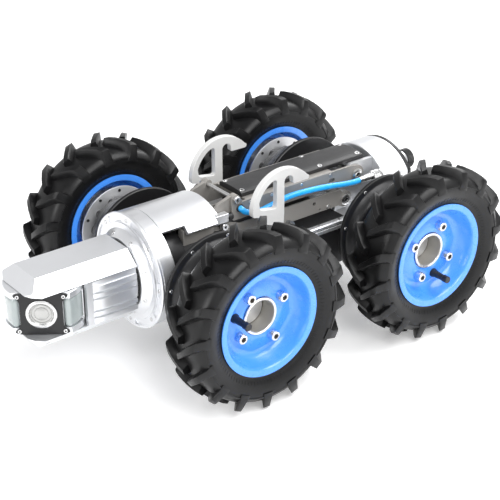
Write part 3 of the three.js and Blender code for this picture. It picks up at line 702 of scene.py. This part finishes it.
def pin_piece(name, at, radius, head, body):
    ends = []
    for side in (1, -1):
        ends.append(moved(lathe([
            (head * 0.42, 61.5), (head * 0.86, 61.5), (head, 60.2), (head, 55.7), (radius, 55.6),
            (0.01, 55.6), (0.01, 58.4), (head * 0.42, 58.4),
        ], 40), Matrix.Scale(side, 4, (0, 1, 0))))
    shaft = lathe(disc(radius, -55.7, 55.7), 32)
    at_matrix = Matrix.Translation((at[0], 0, at[1]))
    piece(f"{name}_bolt", moved(merged(shaft, *ends), at_matrix), body, "zinc_steel", stands_for=[name])
    # dark discs at the pin socket floors: painted shade in the holes
    floors = [lathe(disc(head * 0.42, side * 58.4 - 0.2, side * 58.4 + 0.2), 6) for side in (1, -1)]
    piece(f"{name}_socket", moved(merged(*floors), at_matrix), body, "socket_shade_and_seal_black")


pin_piece("rear_upper_pin", REAR_UPPER, 7.4, 13, "chassis")
pin_piece("rear_lower_pin", REAR_LOWER, 7.4, 13, "chassis")
pin_piece("front_upper_pin", FRONT_UPPER, 4.5, 8, "carrier")
pin_piece("front_lower_pin", FRONT_LOWER, 4.5, 8, "carrier")

upper_outline = arc(*REAR_UPPER, 20, 110, 270, 20) + [(-190, 275), (118, 275), (123, 281), (123, 318)] + \
    arc(*FRONT_UPPER, 10, 0, 150, 14) + [(96, 312), (-200, 312)]
slot_hole = arc(-148, 292, 5, 90, 270, 10) + arc(-142, 292, 5, -90, 90, 10)
lower_outline = arc(*REAR_LOWER, 18, 70, 300, 22) + [(-165, 227), (70, 227), (128, 248)] + \
    arc(*FRONT_LOWER, 9.5, -50, 130, 16) + [(100, 264), (-168, 264)]
for side_name, side in SIDES:
    low, high = sorted((side * ARM[0], side * ARM[1]))
    piece(f"upper_plate_{side_name}", prism(upper_outline, low, high, "y", [
        circle(*REAR_UPPER, 8.2, 28)[::-1], circle(*FRONT_UPPER, 5.2, 24)[::-1], slot_hole[::-1]]),
        "upper_arm", "grey_anodised", bevel=0.9, stands_for=[f"upper_arm_{side_name}"])
    piece(f"lower_plate_{side_name}", prism(lower_outline, low, high, "y", [
        circle(*REAR_LOWER, 8.2, 28)[::-1], circle(*FRONT_LOWER, 5.2, 24)[::-1],
        circle(-97, 250, 4.5, 20)[::-1], circle(-113, 232.5, 2.6, 16)[::-1]]),
        "lower_arm", "grey_anodised", bevel=0.9, stands_for=[f"lower_arm_{side_name}"])
    outer = side * ARM[1]
    screws(f"upper_plate_screws_{side_name}", [
        ((x, outer, 306), (0, side, 0)) for x in (-140, -60, 20, 76)], "upper_arm", 3.4, 1.2)
    screws(f"lower_plate_screws_{side_name}", [
        ((x, outer, z), (0, side, 0)) for x, z in ((20, 244), (-135, 233))], "lower_arm", 4.4, 1.6)
piece("arm_web", block((-148, 84), (-49.7, 49.7), (306, 312)), "upper_arm", "grey_anodised", bevel=0.8,
      stands_for=["upper_arm_web"])
piece("arm_spacer", lathe(disc(8, -49.7, 49.7, 0.8), 32, "y", (20, 0, 244)), "lower_arm", "zinc_steel",
      stands_for=["lower_arm_spacer"])
COVER_HALF = 38
cover = [(-COVER_HALF, 312.3), (COVER_HALF, 312.3), (COVER_HALF, 319.5)]
for angle in range(15, 166, 15):
    across = math.cos(RAD(angle))
    cover.append((
        math.copysign(COVER_HALF * abs(across) ** 0.9, across), 319.8 + 5.7 * math.sin(RAD(angle))))
cover.append((-COVER_HALF, 319.5))
piece("cover_shell", prism(cover, -247, 86, "x"), "upper_arm", "black_plastic", bevel=1.4,
      stands_for=["arm_cover"], smooth=40)
screws("cover_screws", [((77.7, 29, 321.6), (0, 0.15, 1)), ((77.7, -29, 321.6), (0, -0.15, 1)),
                        ((-130, 31, 321.4), (0, 0.15, 1)), ((-130, -31, 321.4), (0, -0.15, 1)),
                        ((-238, 29, 321.6), (0, 0.15, 1)), ((-238, -29, 321.6), (0, -0.15, 1))],
       "upper_arm", 5.6, 2.8)
piece("lift_motor_case", lathe([
    (0.01, -120), (18.5, -120), (20, -118.5), (20, -70), (19.2, -69), (19.2, -66), (20, -65), (20, 28.5),
    (18.5, 30), (10, 30.4), (10, 77), (9, 78), (0.01, 78),
], 56, "x", (0, 0, 284)), "upper_arm", "zinc_steel", stands_for=["lift_gearmotor"])


# ---- Carrier ----
def flange_shape():
    return lathe([
        (45, 303), (118.6, 303), (120, 304.4), (120, 333.4), (119, 335), (120.6, 335.6), (122, 337),
        (122, 340.4), (120.6, 341.8), (102.4, 342), (101.6, 344.6), (91, 345), (89.6, 347), (75, 359.4),
        (45, 359.4),
    ], 160, "x", ROLL_CENTRE)


flange = piece("flange_ring", flange_shape(), "carrier", "turned_aluminium", bevel=0.6,
               stands_for=["camera_flange"])
for turn in range(0, 360, 45):
    spin = Matrix.Translation(ROLL_CENTRE) @ Matrix.Rotation(RAD(turn + 22.5), 4, "X")
    pocket = prism(arc(0, 0, 103.4, 76, 104, 12) + arc(0, 0, 116, 104, 76, 12), 338.6, 346, "x")
    carve(flange, moved(pocket, spin), "pocket")
screws("flange_screws", [
    ((342, 110 * math.cos(RAD(a)), CAMERA_Z + 110 * math.sin(RAD(a))), (1, 0, 0)) for a in range(0, 360, 45)],
    "carrier", 4.4, 1.2, "zinc_steel")
screws("seal_screws", [
    ((353.4, 82.3 * math.cos(RAD(a)), CAMERA_Z + 82.3 * math.sin(RAD(a))),
     (0.76, 0.65 * math.cos(RAD(a)), 0.65 * math.sin(RAD(a)))) for a in range(22, 382, 45)],
    "carrier", 4.4, 1.0, "zinc_steel")
piece("seal_ring", lathe([(46, 355), (70, 355), (71, 356), (71, 362.4), (70, 363.4), (46, 363.4)], 96, "x",
                         ROLL_CENTRE), "carrier", "socket_shade_and_seal_black")
CARRIER_RADIUS = 120
SHELL_START = 55.5
shell_section = arc(0, CAMERA_Z, CARRIER_RADIUS, SHELL_START, 180 - SHELL_START, 40) + \
    arc(0, CAMERA_Z, CARRIER_RADIUS - 8, 180 - SHELL_START, SHELL_START, 40)
piece("shell_roof", prism(shell_section, 168, 302.7, "x"), "carrier", "bright_aluminium", bevel=1.0,
      stands_for=["carrier_shell"])
for side_name, side in SIDES:
    strip = [(side * y, z) for y, z in
             arc(0, CAMERA_Z, CARRIER_RADIUS, 46.5, 55.3, 6) +
             arc(0, CAMERA_Z, CARRIER_RADIUS - 9, 55.3, 46.5, 6)]
    piece(f"shell_strip_{side_name}", prism(strip, 177, 250, "x"), "carrier", "bright_aluminium", bevel=0.8)
    lug = block((138, 178), tuple(sorted((side * 50.5, side * 66))), (283, 302))
    piece(f"carrier_block_{side_name}", lug, "carrier", "bright_aluminium", bevel=1.6)
    plug = lathe(disc(7.6, 127, 139, 1.0), 28, "x", (0, side * 61, 291.5))
    piece(f"carrier_plug_{side_name}", plug, "carrier", "black_plastic")

core = piece("roll_motor_case", lathe([
    (0.01, 252), (84, 252), (88.4, 254), (90, 258), (90, 302.7), (40, 302.7), (40, 300), (0.01, 300),
], 96, "x", ROLL_CENTRE), "carrier", "black_anodised", bevel=1.0, stands_for=["roll_motor_housing"])
carve(core, block((240, 278), (-100, 100), (100, 240)), "core_step")
cheek = [(251.5, 262), (251.5, 306), (166, 306), (150, 319), (124, 327)] + \
    arc(*FRONT_UPPER, 10, 40, 220, 16) + [(118, 285)] + arc(*FRONT_LOWER, 11, 160, 300, 14) + [(165, 262)]
for side_name, side in SIDES:
    low, high = sorted((side * 41, side * 49))
    piece(f"carrier_cheek_{side_name}", prism(cheek, low, high, "y", [
        circle(*FRONT_UPPER, 4.9, 24)[::-1], circle(*FRONT_LOWER, 4.9, 24)[::-1]]),
        "carrier", "grey_anodised", bevel=0.9,
        stands_for=["carrier_frame"] if side > 0 else ())
piece("carrier_tray", block((177, 251.5), (-66, 66), (262, 296)), "carrier", "grey_anodised", bevel=1.4)
piece("bearing_ring", lathe([
    (29, 318), (44, 318), (44.7, 318.7), (44.7, 333.3), (44, 334), (29, 334),
], 56, "x", ROLL_CENTRE), "carrier", "zinc_steel", stands_for=["roll_bearing"])


# ---- Camera head ----
HALF_HEIGHT = 74.4
FLAT = 39.5
FLANK = 70
FLANK_Z = 47
WINDOW = 46
DRUM_X = 533


def octagon(inset=0.0):
    half, flat, flank, flank_z = HALF_HEIGHT - inset, FLAT, FLANK - inset, FLANK_Z
    return [(y, CAMERA_Z + z) for y, z in (
        (flat, half), (-flat, half), (-flank, flank_z), (-flank, -flank_z), (-flat, -half), (flat, -half),
        (flank, -flank_z), (flank, flank_z))]


head = piece("head_case", prism(octagon(), 366, HEAD_FRONT, "x"), "camera_head", "bright_aluminium",
             bevel=1.8, stands_for=["camera_head"], segments=3)
nose_cut = [(574, 72), (590, 56), (604, 24), (640, 24), (640, 90), (574, 90)]
visor_cut = [(570, HALF_HEIGHT + 0.2), (608, 34), (640, 34), (640, 90), (570, 90)]
for side in (1, -1):
    carve(head, prism([(x, side * y) for x, y in nose_cut], 100, 320, "z"), "nose")
    carve(head, prism([(x, CAMERA_Z + side * z) for x, z in visor_cut], -90, 90, "y"), "visor")
carve(head, lathe(disc(81, -WINDOW, WINDOW), 96, "z", (DRUM_X, 0, CAMERA_Z)), "drum_space")
carve(head, block((DRUM_X, 660), (-95, 95), (CAMERA_Z - WINDOW, CAMERA_Z + WINDOW)), "drum_front")
for side in (1, -1):
    low, high = sorted((side * 60, side * 95))
    carve(head, block((480, 660), (low, high), (CAMERA_Z - WINDOW, CAMERA_Z + WINDOW)), "drum_side")
    # the flank turns in towards the drum, and long grooves run round that corner
    corner = [(444, side * (FLANK + 0.2)), (466, side * 65), (466, side * 90), (444, side * 90)]
    carve(head, prism(corner, CAMERA_Z - 47, CAMERA_Z + 38, "z"), "corner")
    for z, half, depth in ((37, 6.5, 3.0), (17.5, 2.8, 6), (4, 2.6, 6), (-22, 3.0, 6), (-35.5, 3.0, 6)):
        inner = FLANK - depth
        groove = [(360, side * inner), (444, side * inner), (466, side * (inner - 5)), (466, side * 95),
                  (360, side * 95)]
        carve(head, prism(groove, CAMERA_Z + z - half, CAMERA_Z + z + half, "z"), "groove")
carve(head, block((376, 444), (-56, 56), (152, 268)), "cable_bay")
piece("head_shaft", lathe([
    (16, 302), (27.4, 302), (28, 302.6), (28, 362), (67, 362), (68, 363), (68, 366.4), (16, 366.4),
], 80, "x", ROLL_CENTRE), "camera_head", "turned_aluminium")
NORMAL = Vector((0, HALF_HEIGHT - FLANK_Z, FLANK - FLAT)).normalized()


def on_chamfer(x, share, side=1, up=1):
    """A point on the head's sloping face, share of the way from its flat to its flank."""
    y = FLAT + (FLANK - FLAT) * share
    z = HALF_HEIGHT + (FLANK_Z - HALF_HEIGHT) * share
    return (x, side * y, CAMERA_Z + up * z), (0, side * NORMAL.y, up * NORMAL.z)


screws("head_screws", [on_chamfer(x, 0.42, s, u) for x in (374, 500, 562) for s in (1, -1) for u in (1, -1)],
       "camera_head", 4.6, 1.0, "zinc_steel")
for where, side in (("top", 1), ("bottom", -1)):
    low, high = sorted((CAMERA_Z + side * 46.2, CAMERA_Z + side * 57))
    boss = prism(arc(DRUM_X, 0, 9.2, 0, 345, 23), low, high, "z")
    piece(f"pan_boss_{where}", boss, "camera_head", "zinc_steel")


# ---- Camera drum ----
PAN = RAD(54)
DRUM = Matrix.Translation((DRUM_X, 0, CAMERA_Z)) @ Matrix.Rotation(PAN, 4, "Z")
FACE = 55
DRUM_RADIUS = 78
WAIST = 41
drum = piece("drum_case", moved(lathe([
    (0.01, -45), (DRUM_RADIUS - 1.5, -45), (DRUM_RADIUS, -43.5), (DRUM_RADIUS, 43.5),
    (DRUM_RADIUS - 1.5, 45), (0.01, 45)], 128, "z"), DRUM),
    "camera_drum", "bright_aluminium", bevel=0.8, stands_for=["drum_body"])
carve(drum, moved(block((FACE, 95), (-90, 90), (-50, 50)), DRUM), "face")
for side in (1, -1):
    low, high = sorted((side * (WAIST + 0.6), side * 90))
    carve(drum, moved(block((18, 95), (low, high), (-31.6, 31.6)), DRUM), "lamp")
carve(drum, moved(lathe(disc(27, 20, 60), 48, "x"), DRUM), "lens_bore")
waist = [
    (-58, 40), (-47, 42.5), (-40, 44), (40, 44), (47, 42.5), (58, 40), (50, 36), (44, 31), (WAIST, 25),
    (WAIST, -25), (44, -31), (50, -36), (58, -40), (47, -42.5), (40, -44), (-40, -44), (-47, -42.5),
    (-58, -40), (-50, -36), (-44, -31), (-WAIST, -25), (-WAIST, 25), (-44, 31), (-50, 36),
]
plate_outline = [(max(-52, min(52, y)), z) for y, z in waist]
face_plate = prism(plate_outline, FACE + 0.3, FACE + 3, "x", [circle(0, 0, 30, 48)[::-1]])
piece("face_plate", moved(face_plate, DRUM), "camera_drum", "black_anodised", bevel=0.5,
      stands_for=["drum_face_plate"])
screws("face_screws", [
    (DRUM @ Vector((FACE + 3, y, z)), DRUM.to_3x3() @ Vector((1, 0, 0)))
    for y in (-43.5, 43.5) for z in (-37, 37)], "camera_drum", 4.0, 1.8, "zinc_steel")
lens_ring = lathe([
    (22, FACE - 8), (29, FACE - 8), (29, FACE + 0.4), (29.5, FACE + 1), (29.5, FACE + 4.6),
    (28.4, FACE + 5.4), (24.4, FACE + 5.4), (22, FACE + 2)], 72, "x")
piece("lens_bezel", moved(lens_ring, DRUM), "camera_drum", "zinc_steel", stands_for=["camera_lens"])
glass = [
    (0.01, FACE + 3.8), (5, FACE + 3.5), (9, FACE + 2.7), (12.6, FACE + 1.4), (13, FACE), (14, FACE),
    (14.4, FACE + 1.0), (18.4, FACE + 0.4), (18.8, FACE - 1), (19.8, FACE - 1), (20.2, FACE + 0.8),
    (22.4, FACE + 1.2), (22.6, FACE - 3), (0.01, FACE - 3),
]
piece("lens_glass", moved(lathe(glass, 72, "x"), DRUM), "camera_drum", "lens_grey", smooth=30)


def lamp_glass(side):
    """A clear cover that runs round the drum's corner, with its rim rounded over."""
    inner_y, back_x, high, rounding = WAIST + 1.2, 19, 31, 8
    verts = []
    levels = []
    for i in range(7):
        angle = RAD(90 * i / 6)
        levels.append((-high + rounding * (1 - math.sin(angle)), rounding * (1 - math.cos(angle))))
    levels = sorted(levels) + sorted((-z, inset) for z, inset in levels)
    for z, inset in levels:
        radius = DRUM_RADIUS - 1 - inset * 0.7
        front = FACE - 0.5 - inset * 0.4
        start = math.degrees(math.acos(front / radius))
        stop = math.degrees(math.acos((back_x + inset) / radius))
        ring = [(back_x + inset, inner_y + inset * 0.6), (front - 8, inner_y + inset * 0.6),
                (front - 2.4, inner_y + inset * 0.6 + 1), (front, inner_y + inset * 0.6 + 4.4)]
        ring += arc(0, 0, radius, start, stop, 20)
        verts += [(x, side * y, z) for x, y in ring]
    count = len(verts) // len(levels)
    faces = [tuple(range(count)), tuple(len(verts) - 1 - k for k in range(count))]
    for level in range(len(levels) - 1):
        for k in range(count):
            after = (k + 1) % count
            low = level * count
            faces.append((low + k, low + after, low + count + after, low + count + k))
    return verts, faces


for side_name, side in SIDES:
    piece(f"lamp_glass_{side_name}", moved(lamp_glass(side), DRUM), "camera_drum", "clear_glass",
          stands_for=[f"lamp_window_{side_name}"], smooth=50)


# ---- Cable and its connector ----
ROUTE = [
    (-205.4, 75, 283), (-190, 75, 283), (-165, 74, 285), (-127, 72, 290), (-86, 70, 294), (-44, 70, 297),
    (-18, 70, 297.5), (2, 70, 296), (20, 70, 293), (36, 70, 290), (55, 70, 287), (70, 70, 286.5),
    (85, 68, 289), (97, 65, 293), (101.5, 62.5, 297.5), (103, 59, 299.5), (103.4, 56.4, 300.4),
]
CABLE_RADIUS = 6.3


def smooth_path(points, each=6):
    """Catmull-Rom points through a route."""
    path = []
    ends = [points[0]] + list(points) + [points[-1]]
    for i in range(1, len(ends) - 2):
        p0, p1, p2, p3 = (Vector(p) for p in ends[i - 1:i + 3])
        for k in range(each):
            t = k / each
            path.append(0.5 * ((2 * p1) + (p2 - p0) * t + (2 * p0 - 5 * p1 + 4 * p2 - p3) * t * t +
                               (3 * p1 - p0 - 3 * p2 + p3) * t ** 3))
    path.append(Vector(points[-1]))
    return path


def tube(path, radius, sides=24):
    verts = []
    faces = []
    normal = Vector((0, 1, 0))
    for i, at in enumerate(path):
        ahead = (path[min(i + 1, len(path) - 1)] - path[max(i - 1, 0)]).normalized()
        normal = (normal - ahead * normal.dot(ahead)).normalized()
        across = ahead.cross(normal)
        for k in range(sides):
            a = 2 * math.pi * k / sides
            verts.append(tuple(at + radius * (math.cos(a) * normal + math.sin(a) * across)))
    for i in range(len(path) - 1):
        for k in range(sides):
            after = (k + 1) % sides
            faces.append((i * sides + k, i * sides + after, (i + 1) * sides + after, (i + 1) * sides + k))
    faces.append(tuple(range(sides)))
    faces.append(tuple((len(path) - 1) * sides + k for k in reversed(range(sides))))
    return verts, faces


def blended(name, shape, finish, stands_for):
    verts, faces = shape
    mesh = bpy.data.meshes.new(name)
    mesh.from_pydata([place(v) for v in verts], [], faces)
    for polygon in mesh.polygons:
        polygon.use_smooth = True
    made = bpy.data.objects.new(name, mesh)
    bpy.context.scene.collection.objects.link(made)
    mesh.materials.append(MATERIALS[finish])
    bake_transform(made)
    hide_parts(*stands_for)


blended("cable_tube", tube(smooth_path(ROUTE), CABLE_RADIUS), "cable_jacket",
        ["signal_cable"])
piece("cable_grommet", lathe([
    (6.5, 55.2), (8.6, 55.2), (9, 55.8), (8.4, 57.6), (7, 58.6), (6.5, 58.6),
], 32, "y", (103.2, 0, 300)), "upper_arm", "black_plastic")
NUT_Y = 75
NUT_Z = 283
nut = []
for a in range(0, 360, 10):
    nut += [(NUT_Y + 11 * math.cos(RAD(a)), NUT_Z + 11 * math.sin(RAD(a))),
            (NUT_Y + 10.2 * math.cos(RAD(a + 5)), NUT_Z + 10.2 * math.sin(RAD(a + 5)))]
piece("cable_nut", merged(
    prism(nut, -262, -242, "x"),
    lathe([(0.01, -265.7), (12, -265.7), (12, -262.2), (9.2, -262), (0.01, -262)], 40, "x",
          (0, NUT_Y, NUT_Z)),
    lathe([
        (0.01, -242), (9.4, -242), (9.4, -238.4), (8.6, -236), (8.6, -232), (7.4, -218), (6.6, -206),
        (0.01, -206),
    ], 40, "x", (0, NUT_Y, NUT_Z)),
), "chassis", "zinc_steel", stands_for=["cable_connector"])


# ---- CAD nodes that stay, with better finishes ----
for name in frame["nodes"]:
    shown = frame["nodes"][name]
    if shown.hide_render:
        continue
    wanted = next(s["material_slot"] for s in frame["record"]["subparts"] if s["node"] == name)
    for material_slot in shown.material_slots:
        material_slot.material = MATERIALS[wanted]


# ---- Floor, light and camera ----
FLOOR_HALF = 9
FLOOR_Z = -0.0004
floor_mesh = bpy.data.meshes.new("floor")
floor_mesh.from_pydata([
    (x * FLOOR_HALF, y * FLOOR_HALF, FLOOR_Z) for x, y in ((-1, -1), (1, -1), (1, 1), (-1, 1))
], [], [(0, 1, 2, 3)])
floor = bpy.data.objects.new("floor", floor_mesh)
bpy.context.scene.collection.objects.link(floor)
floor_material = bpy.data.materials.new("floor_white")
floor_material.use_nodes = True
floor_shader = floor_material.node_tree.nodes["Principled BSDF"]
floor_shader.inputs["Base Color"].default_value = (0.93, 0.93, 0.93, 1)
floor_shader.inputs["Roughness"].default_value = 0.9
floor_shader.inputs["Emission Color"].default_value = (1, 1, 1, 1)
floor_shader.inputs["Emission Strength"].default_value = 0.3
floor_mesh.materials.append(floor_material)


def area_light(name, at, target, size, power):
    light = bpy.data.lights.new(name, "AREA")
    light.shape = "RECTANGLE"
    light.size, light.size_y = size
    light.energy = power
    lamp = bpy.data.objects.new(name, light)
    bpy.context.scene.collection.objects.link(lamp)
    lamp.location = at
    lamp.rotation_euler = (Vector(target) - Vector(at)).to_track_quat("-Z", "Y").to_euler()


area_light("key", (0.6, 2.4, 2.6), (0, 0, 0.2), (1.6, 1.6), 60)
area_light("rear", (-2.2, -0.6, 1.8), (0, 0, 0.2), (1.4, 1.4), 34)
area_light("front", (2.6, 0.2, 1.2), (0.3, 0, 0.2), (1.2, 1.2), 26)
area_light("overhead", (-1.1, 1.2, 2.7), (0.3, 0, 0.2), (1.7, 1.7), 60)

world = bpy.data.worlds.new("studio")
bpy.context.scene.world = world
world.use_nodes = True
sky = world.node_tree
background = sky.nodes["Background"]
coordinate = sky.nodes.new("ShaderNodeTexCoord")
split = sky.nodes.new("ShaderNodeSeparateXYZ")
blend_ramp = sky.nodes.new("ShaderNodeValToRGB")
blend_ramp.color_ramp.elements[0].position = 0.02
blend_ramp.color_ramp.elements[0].color = (1.0, 1.0, 1.0, 1)
blend_ramp.color_ramp.elements[1].position = 0.9
blend_ramp.color_ramp.elements[1].color = (0.36, 0.36, 0.37, 1)
sky.links.new(coordinate.outputs["Generated"], split.inputs["Vector"])
sky.links.new(split.outputs["Z"], blend_ramp.inputs["Fac"])
sky.links.new(blend_ramp.outputs["Color"], background.inputs["Color"])
background.inputs["Strength"].default_value = 1.0

CAMERA_AT = (1587.3, 2023.4, 1468.3)
AZIMUTH = RAD(142.5)
ELEVATION = RAD(27.17)
ROLL = RAD(-0.196)
FOCAL_SHARE = 1337.3 / 500
SENSOR = 36
backward = Vector((
    math.sin(AZIMUTH) * math.cos(ELEVATION), -math.cos(AZIMUTH) * math.cos(ELEVATION), math.sin(ELEVATION)))
level_right = Vector((math.cos(AZIMUTH), math.sin(AZIMUTH), 0))
level_up = backward.cross(level_right)
right = level_right * math.cos(ROLL) + level_up * math.sin(ROLL)
up = level_up * math.cos(ROLL) - level_right * math.sin(ROLL)
camera_data = bpy.data.cameras.new("camera")
camera_data.sensor_width = SENSOR
camera_data.lens = SENSOR * FOCAL_SHARE
camera_data.clip_start = 0.05
camera_data.clip_end = 60
camera = bpy.data.objects.new("camera", camera_data)
bpy.context.scene.collection.objects.link(camera)
facing = Matrix((right, up, backward)).transposed().to_4x4()
camera.matrix_world = Matrix.Translation(place(CAMERA_AT)) @ facing
bpy.context.scene.camera = camera
bpy.context.scene.view_settings.view_transform = "Standard"
bpy.context.scene.view_settings.exposure = 0.0
